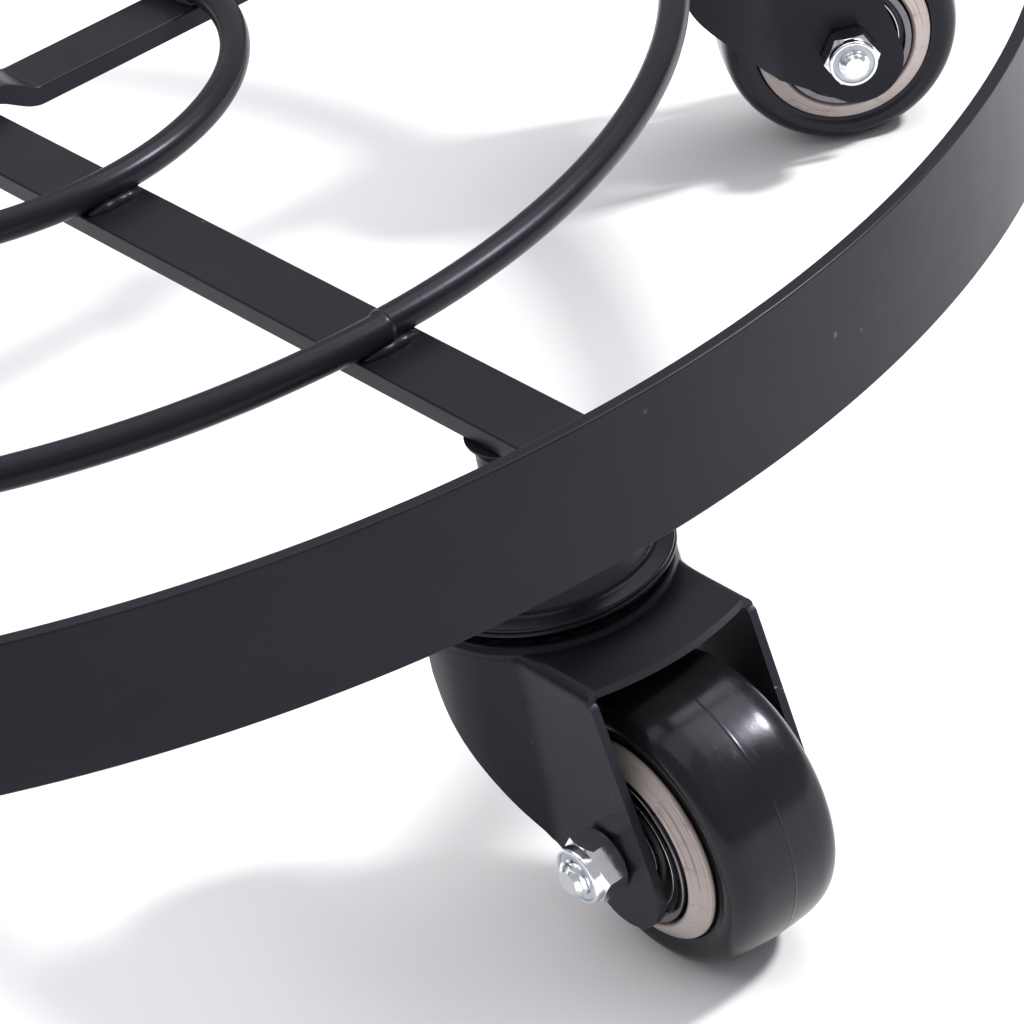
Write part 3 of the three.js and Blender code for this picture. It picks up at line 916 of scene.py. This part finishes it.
def nut_mesh():
    """Lock nut on the -Y side: chamfered hexagon, then a round collar crimped over the nylon ring."""
    seat, end = -NUT_SEAT, -(NUT_SEAT + NUT_HEIGHT)
    face = ACROSS_FLATS * 0.475
    hex_end = end + 1.35 * MM
    collar = 3.92 * MM
    bore = BOLT_RADIUS + 0.15 * MM
    opening = 3.4 * MM
    loops = [
        circle(bore, seat, 144, "Y"),
        circle(face, seat, 144, "Y"),
        hex_loop(ACROSS_FLATS, seat, face, -1),
        hex_loop(ACROSS_FLATS, hex_end, collar, 1),
        circle(collar, hex_end - 0.05 * MM, 144, "Y"),
        circle(collar, hex_end - 0.25 * MM, 144, "Y"),
    ]
    for k in range(7):
        angle = k * math.pi / 12
        reach = collar - 0.4 * MM * (1 - math.cos(angle))
        loops.append(circle(reach, end + 0.4 * MM * (1 - math.sin(angle)), 144, "Y"))
    loops.append(circle(opening, end + 0.03 * MM, 144, "Y"))
    loops.append(circle(opening - 0.1 * MM, end + 0.5 * MM, 144, "Y"))
    loops.append(circle(bore, end + 0.6 * MM, 144, "Y"))
    return skin("axle_nut", loops, wrap=True)


def nylon_ring_mesh():
    end = -(NUT_SEAT + NUT_HEIGHT)
    inner, outer = BOLT_RADIUS - 0.1 * MM, 3.35 * MM
    profile = rounded([
        (inner, end + 0.25 * MM, 0.15 * MM),
        (inner, end + 1.1 * MM, 0),
        (outer, end + 1.1 * MM, 0),
        (outer, end + 0.25 * MM, 0.2 * MM),
    ])
    return turned("nylon_ring", profile, 72, "Y")


def sleeve_mesh():
    """The tube between the fork's legs, with a thin collar against each leg."""
    half = sleeve_high.y
    bore = BOLT_RADIUS + 0.2 * MM
    collar = SLEEVE_RADIUS + 1.3 * MM
    face = BEARING_OUTER_FACE + 0.1 * MM
    profile = rounded([
        (bore, -half, 0),
        (collar, -half, 0.2 * MM),
        (collar, -face, 0.2 * MM),
        (SLEEVE_RADIUS, -face, 0),
        (SLEEVE_RADIUS, face, 0),
        (collar, face, 0.2 * MM),
        (collar, half, 0.2 * MM),
        (bore, half, 0),
    ])
    return turned("axle_sleeve", profile, 72, "Y")


# ---- Bearings: side is +1 or -1 along Y ------------------------------------------------
def ring_between(name, inner, outer, side, ease, inset=0.0):
    """A plain bearing ring over the bearing's width, its corners eased."""
    near = side * (BEARING_INNER_FACE + inset)
    far = side * (BEARING_OUTER_FACE - inset)
    profile = rounded([(inner, near, ease), (outer, near, ease), (outer, far, ease), (inner, far, ease)])
    return turned(name, profile, 96, "Y")


def seal_mesh(side):
    """The seal's face: a dish with a raised bead near its rim and a lip on the inner race."""
    face = BEARING_OUTER_FACE
    back = face - 1.6 * MM
    inner = INNER_RACE_RADIUS + 0.06 * MM
    outer = BEARING_RADIUS - LAND_WIDTH
    corners = [
        (inner, back, 0),
        (inner, face - 0.5 * MM, 0.12 * MM),
        (inner + 0.55 * MM, face - 0.45 * MM, 0.1 * MM),
        (inner + 0.8 * MM, face - 0.95 * MM, 0.1 * MM),
        (outer - 1.35 * MM, face - 0.95 * MM, 0.15 * MM),
        (outer - 1.1 * MM, face - 0.3 * MM, 0.12 * MM),
        (outer - 0.85 * MM, face - 0.3 * MM, 0.12 * MM),
        (outer - 0.7 * MM, face - 0.7 * MM, 0.12 * MM),
        (outer, face - 0.7 * MM, 0),
        (outer, back, 0),
    ]
    return turned("bearing_seal", rounded([(r, side * h, q) for r, h, q in corners]), 96, "Y")


def seal_rim_mesh(side):
    """The thin steel edge of the seal's insert, shining on top of its bead."""
    middle = BEARING_RADIUS - LAND_WIDTH - 0.97 * MM
    face = BEARING_OUTER_FACE - 0.3 * MM
    half = 0.14 * MM
    corners = [
        (middle - half, face - 0.5 * MM, 0),
        (middle + half, face - 0.5 * MM, 0),
        (middle + half, face + 0.12 * MM, 0.08 * MM),
        (middle - half, face + 0.12 * MM, 0.08 * MM),
    ]
    return turned("seal_rim", rounded([(r, side * h, q) for r, h, q in corners]), 96, "Y")


# ---- Wheel -----------------------------------------------------------------------------
def core_mesh():
    """The moulded core: a conical ring on each face, bearing seats, and a rib between them."""
    bore = BEARING_RADIUS + 0.3 * MM
    rib = BEARING_INNER_FACE - 0.3 * MM
    flange = TYRE_HALF_WIDTH - 0.15 * MM
    upper = [
        (13.2 * MM, flange, 0),
        (FLANGE_RADIUS, flange, 0.12 * MM),
        (FLANGE_RADIUS - 0.05 * MM, flange + 0.35 * MM, 0.3 * MM),
        (FLANGE_RADIUS - 0.9 * MM, flange + 0.9 * MM, 0.8 * MM),
        (bore + 0.45 * MM, CORE_HALF_WIDTH, 0.4 * MM),
        (bore + 0.2 * MM, CORE_HALF_WIDTH - 0.2 * MM, 0.12 * MM),
        (bore, CORE_HALF_WIDTH - 0.5 * MM, 0.1 * MM),
        (bore, rib, 0),
        (bore - 2 * MM, rib, 0),
    ]
    lower = [(r, -h, q) for r, h, q in reversed(upper)]
    return turned("wheel_core", rounded(lower + upper), 128, "Y")


def tyre_mesh():
    """Crowned tread with a thin mould line, round shoulders, and sides dished to the core."""
    bore = 13.4 * MM
    side = curve_through([
        (TYRE_RADIUS - 0.03 * MM, 0.8 * MM),
        (TYRE_RADIUS - 0.1 * MM, 3 * MM),
        (TYRE_RADIUS - 0.3 * MM, 5.4 * MM),
        (TYRE_RADIUS - 0.95 * MM, 7.3 * MM),
        (TYRE_RADIUS - 2.2 * MM, TYRE_HALF_WIDTH - 0.15 * MM),
        (TYRE_RADIUS - 3.3 * MM, TYRE_HALF_WIDTH - 0.05 * MM),
        (TYRE_RADIUS - 4.4 * MM, TYRE_HALF_WIDTH - 0.35 * MM),
        (FLANGE_RADIUS + 0.35 * MM, TYRE_HALF_WIDTH - 0.4 * MM),
        (FLANGE_RADIUS + 0.05 * MM, TYRE_HALF_WIDTH - 0.6 * MM),
    ], steps=5)
    ridge = [(TYRE_RADIUS - 0.025 * MM, 0.1 * MM), (TYRE_RADIUS - 0.03 * MM, 0.3 * MM)]
    upper = [(TYRE_RADIUS, 0.04 * MM), *ridge, *side, (bore, TYRE_HALF_WIDTH - 0.6 * MM)]
    lower = [(r, -h) for r, h in reversed(upper)]
    return turned("tyre", lower + upper, 160, "Y")


# ---- Casters ---------------------------------------------------------------------------
def caster_meshes():
    """Each caster piece's mesh once: the swivel head about Z, the wheel and axle about Y."""
    sides = (("left", 1), ("right", -1))
    inner = SLEEVE_RADIUS + 0.12 * MM
    land = BEARING_RADIUS - LAND_WIDTH
    made = {
        "kingpin": kingpin_mesh(),
        "cap": cap_mesh(),
        "balls": balls_mesh(),
        "fork_sheet": fork_sheet_mesh(),
        "fork_pan": fork_pan_mesh(),
        "bolt_head": bolt_head_mesh(),
        "bolt_shank": bolt_shank_mesh(),
        "nut": nut_mesh(),
        "nylon_ring": nylon_ring_mesh(),
        "sleeve": sleeve_mesh(),
        "core": core_mesh(),
        "tyre": tyre_mesh(),
    }
    race = INNER_RACE_RADIUS
    for word, side in sides:
        made[f"inner_race_{word}"] = ring_between("inner_race", inner, race, side, 0.25 * MM)
        made[f"outer_race_{word}"] = ring_between("outer_race", land, BEARING_RADIUS, side, 0.2 * MM)
        made[f"seal_{word}"] = seal_mesh(side)
        made[f"seal_rim_{word}"] = seal_rim_mesh(side)
    return made


def turned_copy(mesh, turn):
    """
    A copy with its points turned, so that the piece's box along the axes is no larger than the piece.
    The points before the turn are kept in the attribute "unturned", for the material.
    """
    copy = mesh.copy()
    unturned = copy.attributes.new("unturned", "FLOAT_VECTOR", "POINT")
    unturned.data.foreach_set("vector", [number for vertex in mesh.vertices for number in vertex.co])
    copy.transform(turn)
    return copy


def make_caster(number, meshes):
    swivel = Vector(joints[f"caster_{number}_swivel_turn"]["pos_m"])
    axle = Vector(joints[f"caster_{number}_wheel_spin"]["pos_m"])
    heading = math.atan2(axle.y - swivel.y, axle.x - swivel.x)
    upright = Matrix.Translation((swivel.x, swivel.y, 0)) @ Matrix.Rotation(heading, 4, "Z")
    at_axle = upright @ Matrix.Translation((TRAIL, 0, AXLE_Z))
    cad = f"caster_{number}"
    fork, wheel = f"{cad}_swivel", f"{cad}_wheel"
    black, steel = "black_paint", "bearing_steel"
    plan = [
        # name, mesh, material, body, CAD nodes it stands for, slot, place
        ("stem_and_kingpin", "kingpin", PAINT, "frame", ["kingpin"], black, upright),
        ("pressed_cap", "cap", CAP_PAINT, "frame", ["swivel_cap"], black, upright),
        ("balls", "balls", STEEL, "frame", ["ball_ring"], steel, upright),
        ("fork_sheet", "fork_sheet", CHIPPED_PAINT, fork, ["fork"], black, upright),
        ("fork_pan", "fork_pan", CHIPPED_PAINT, fork, [], black, upright),
        ("bolt_head", "bolt_head", ZINC, fork, ["axle_bolt"], "zinc_plate", at_axle),
        ("bolt_shank", "bolt_shank", ZINC, fork, [], "zinc_plate", at_axle),
        ("lock_nut", "nut", ZINC, fork, ["axle_nut"], "zinc_plate", at_axle),
        ("nylon_ring", "nylon_ring", NYLON, fork, [], None, at_axle),
        # the sleeve and the races below take the bearing steel darkened with painted shade
        ("sleeve", "sleeve", SHADED_STEEL, fork, ["axle_sleeve"], steel, at_axle),
        ("core_ring", "core", CORE, wheel, ["wheel_core"], "grey_beige_plastic", at_axle),
        ("moulded_tyre", "tyre", RUBBER, wheel, ["tyre"], "black_tyre", at_axle),
    ]
    for word in ("left", "right"):
        inner, outer = f"inner_race_{word}", f"outer_race_{word}"
        plan += [
            (f"race_in_{word}", inner, SHADED_STEEL, fork, [inner], steel, at_axle),
            (f"race_out_{word}", outer, SHADED_STEEL, wheel, [outer], steel, at_axle),
            (f"seal_{word}", f"seal_{word}", SEAL, wheel, [], "black_seal", at_axle),
            (f"seal_rim_{word}", f"seal_rim_{word}", STEEL, wheel, [], steel, at_axle),
        ]
    for name, mesh, material, body, stands_for, slot, place in plan:
        nodes = [f"{cad}_{node}" for node in stands_for]
        shape = meshes[mesh]
        if mesh == "tyre":
            shape = turned_copy(shape, place.to_3x3().to_4x4())
            place = Matrix.Translation(place.translation)
        add_piece(f"{cad}_{name}", shape, material, body, nodes, place)


# ---- Stage: floor, light and camera ----------------------------------------------------
def make_floor():
    shader = Shader("pale_floor")
    tone = shader.blend(shader.noise(1.5, 2), (0.86, 0.86, 0.87), (0.89, 0.89, 0.895))
    shader.set(Roughness=0.9, Specular_IOR_Level=0.1)
    material = shader.finish(tone)
    half = 6.0
    mesh = bpy.data.meshes.new("floor")
    corners = [(-half, -half, 0), (half, -half, 0), (half, half, 0), (-half, half, 0)]
    mesh.from_pydata(corners, [], [(0, 1, 2, 3)])
    mesh.materials.append(material)
    floor = bpy.data.objects.new("floor", mesh)
    bpy.context.scene.collection.objects.link(floor)


def make_world():
    world = bpy.data.worlds.new("studio")
    world.use_nodes = True
    background = world.node_tree.nodes["Background"]
    background.inputs["Color"].default_value = (0.95, 0.94, 1.0, 1)
    background.inputs["Strength"].default_value = 0.5
    bpy.context.scene.world = world


def make_softbox(name, azimuth, elevation, distance, size, power, aim):
    """A soft rectangular light at a distance from aim; angles in degrees from +X and the floor."""
    light = bpy.data.lights.new(name, "AREA")
    light.shape = "RECTANGLE"
    light.size, light.size_y = size
    light.energy = power
    lamp = bpy.data.objects.new(name, light)
    bpy.context.scene.collection.objects.link(lamp)
    a, e = math.radians(azimuth), math.radians(elevation)
    direction = Vector((math.cos(a) * math.cos(e), math.sin(a) * math.cos(e), math.sin(e)))
    lamp.location = aim + direction * distance
    lamp.rotation_euler = direction.to_track_quat("Z", "Y").to_euler()


def make_lights():
    """A small key light for the spot on the tyre, a window-like one beside it, and large soft ones."""
    wheel = Vector((CASTER_RADIUS + TRAIL, 0, AXLE_Z))
    middle = Vector((0, 0, 0))
    # name, azimuth, elevation, distance, size, power, aim
    make_softbox("key", 63.5, 44.5, 1.3, (0.15, 0.15), 17, wheel)
    make_softbox("window", 92, 57, 1.3, (1.2, 0.6), 5, wheel)
    make_softbox("overhead", 200, 80, 2.4, (3.2, 3.2), 36, middle)
    make_softbox("side", -120, 40, 2.0, (0.9, 0.9), 3, middle)


def make_camera():
    """Close and from above, looking across caster 1 to the middle, rolled a little."""
    place = Vector((0.5125, -0.2426, 0.3447))
    aim = Vector((0.14967, -0.01437, 0.06985))
    roll = math.radians(-11.88)
    data = bpy.data.cameras.new("camera")
    data.lens = 153.1
    data.sensor_width = 36
    data.clip_start, data.clip_end = 0.02, 50
    camera = bpy.data.objects.new("camera", data)
    bpy.context.scene.collection.objects.link(camera)
    level = (aim - place).to_track_quat("-Z", "Y").to_matrix().to_4x4()
    camera.matrix_world = Matrix.Translation(place) @ level @ Matrix.Rotation(roll, 4, "Z")
    bpy.context.scene.camera = camera


# ---- Build -----------------------------------------------------------------------------
make_hoop()
make_straight_bar()
make_joggled_bar()
make_wire_ring("large_ring", "wire_ring_large", LARGE_RING_RADIUS, 0.0)
make_wire_ring("small_ring", "wire_ring_small", SMALL_RING_RADIUS, math.pi)
make_ring_welds()
make_hoop_welds()
make_crossing_weld()
shared_meshes = caster_meshes()
for caster_number in CASTERS:
    make_caster(caster_number, shared_meshes)
make_floor()
make_world()
make_lights()
make_camera()
bpy.context.scene.view_settings.view_transform = "Standard"
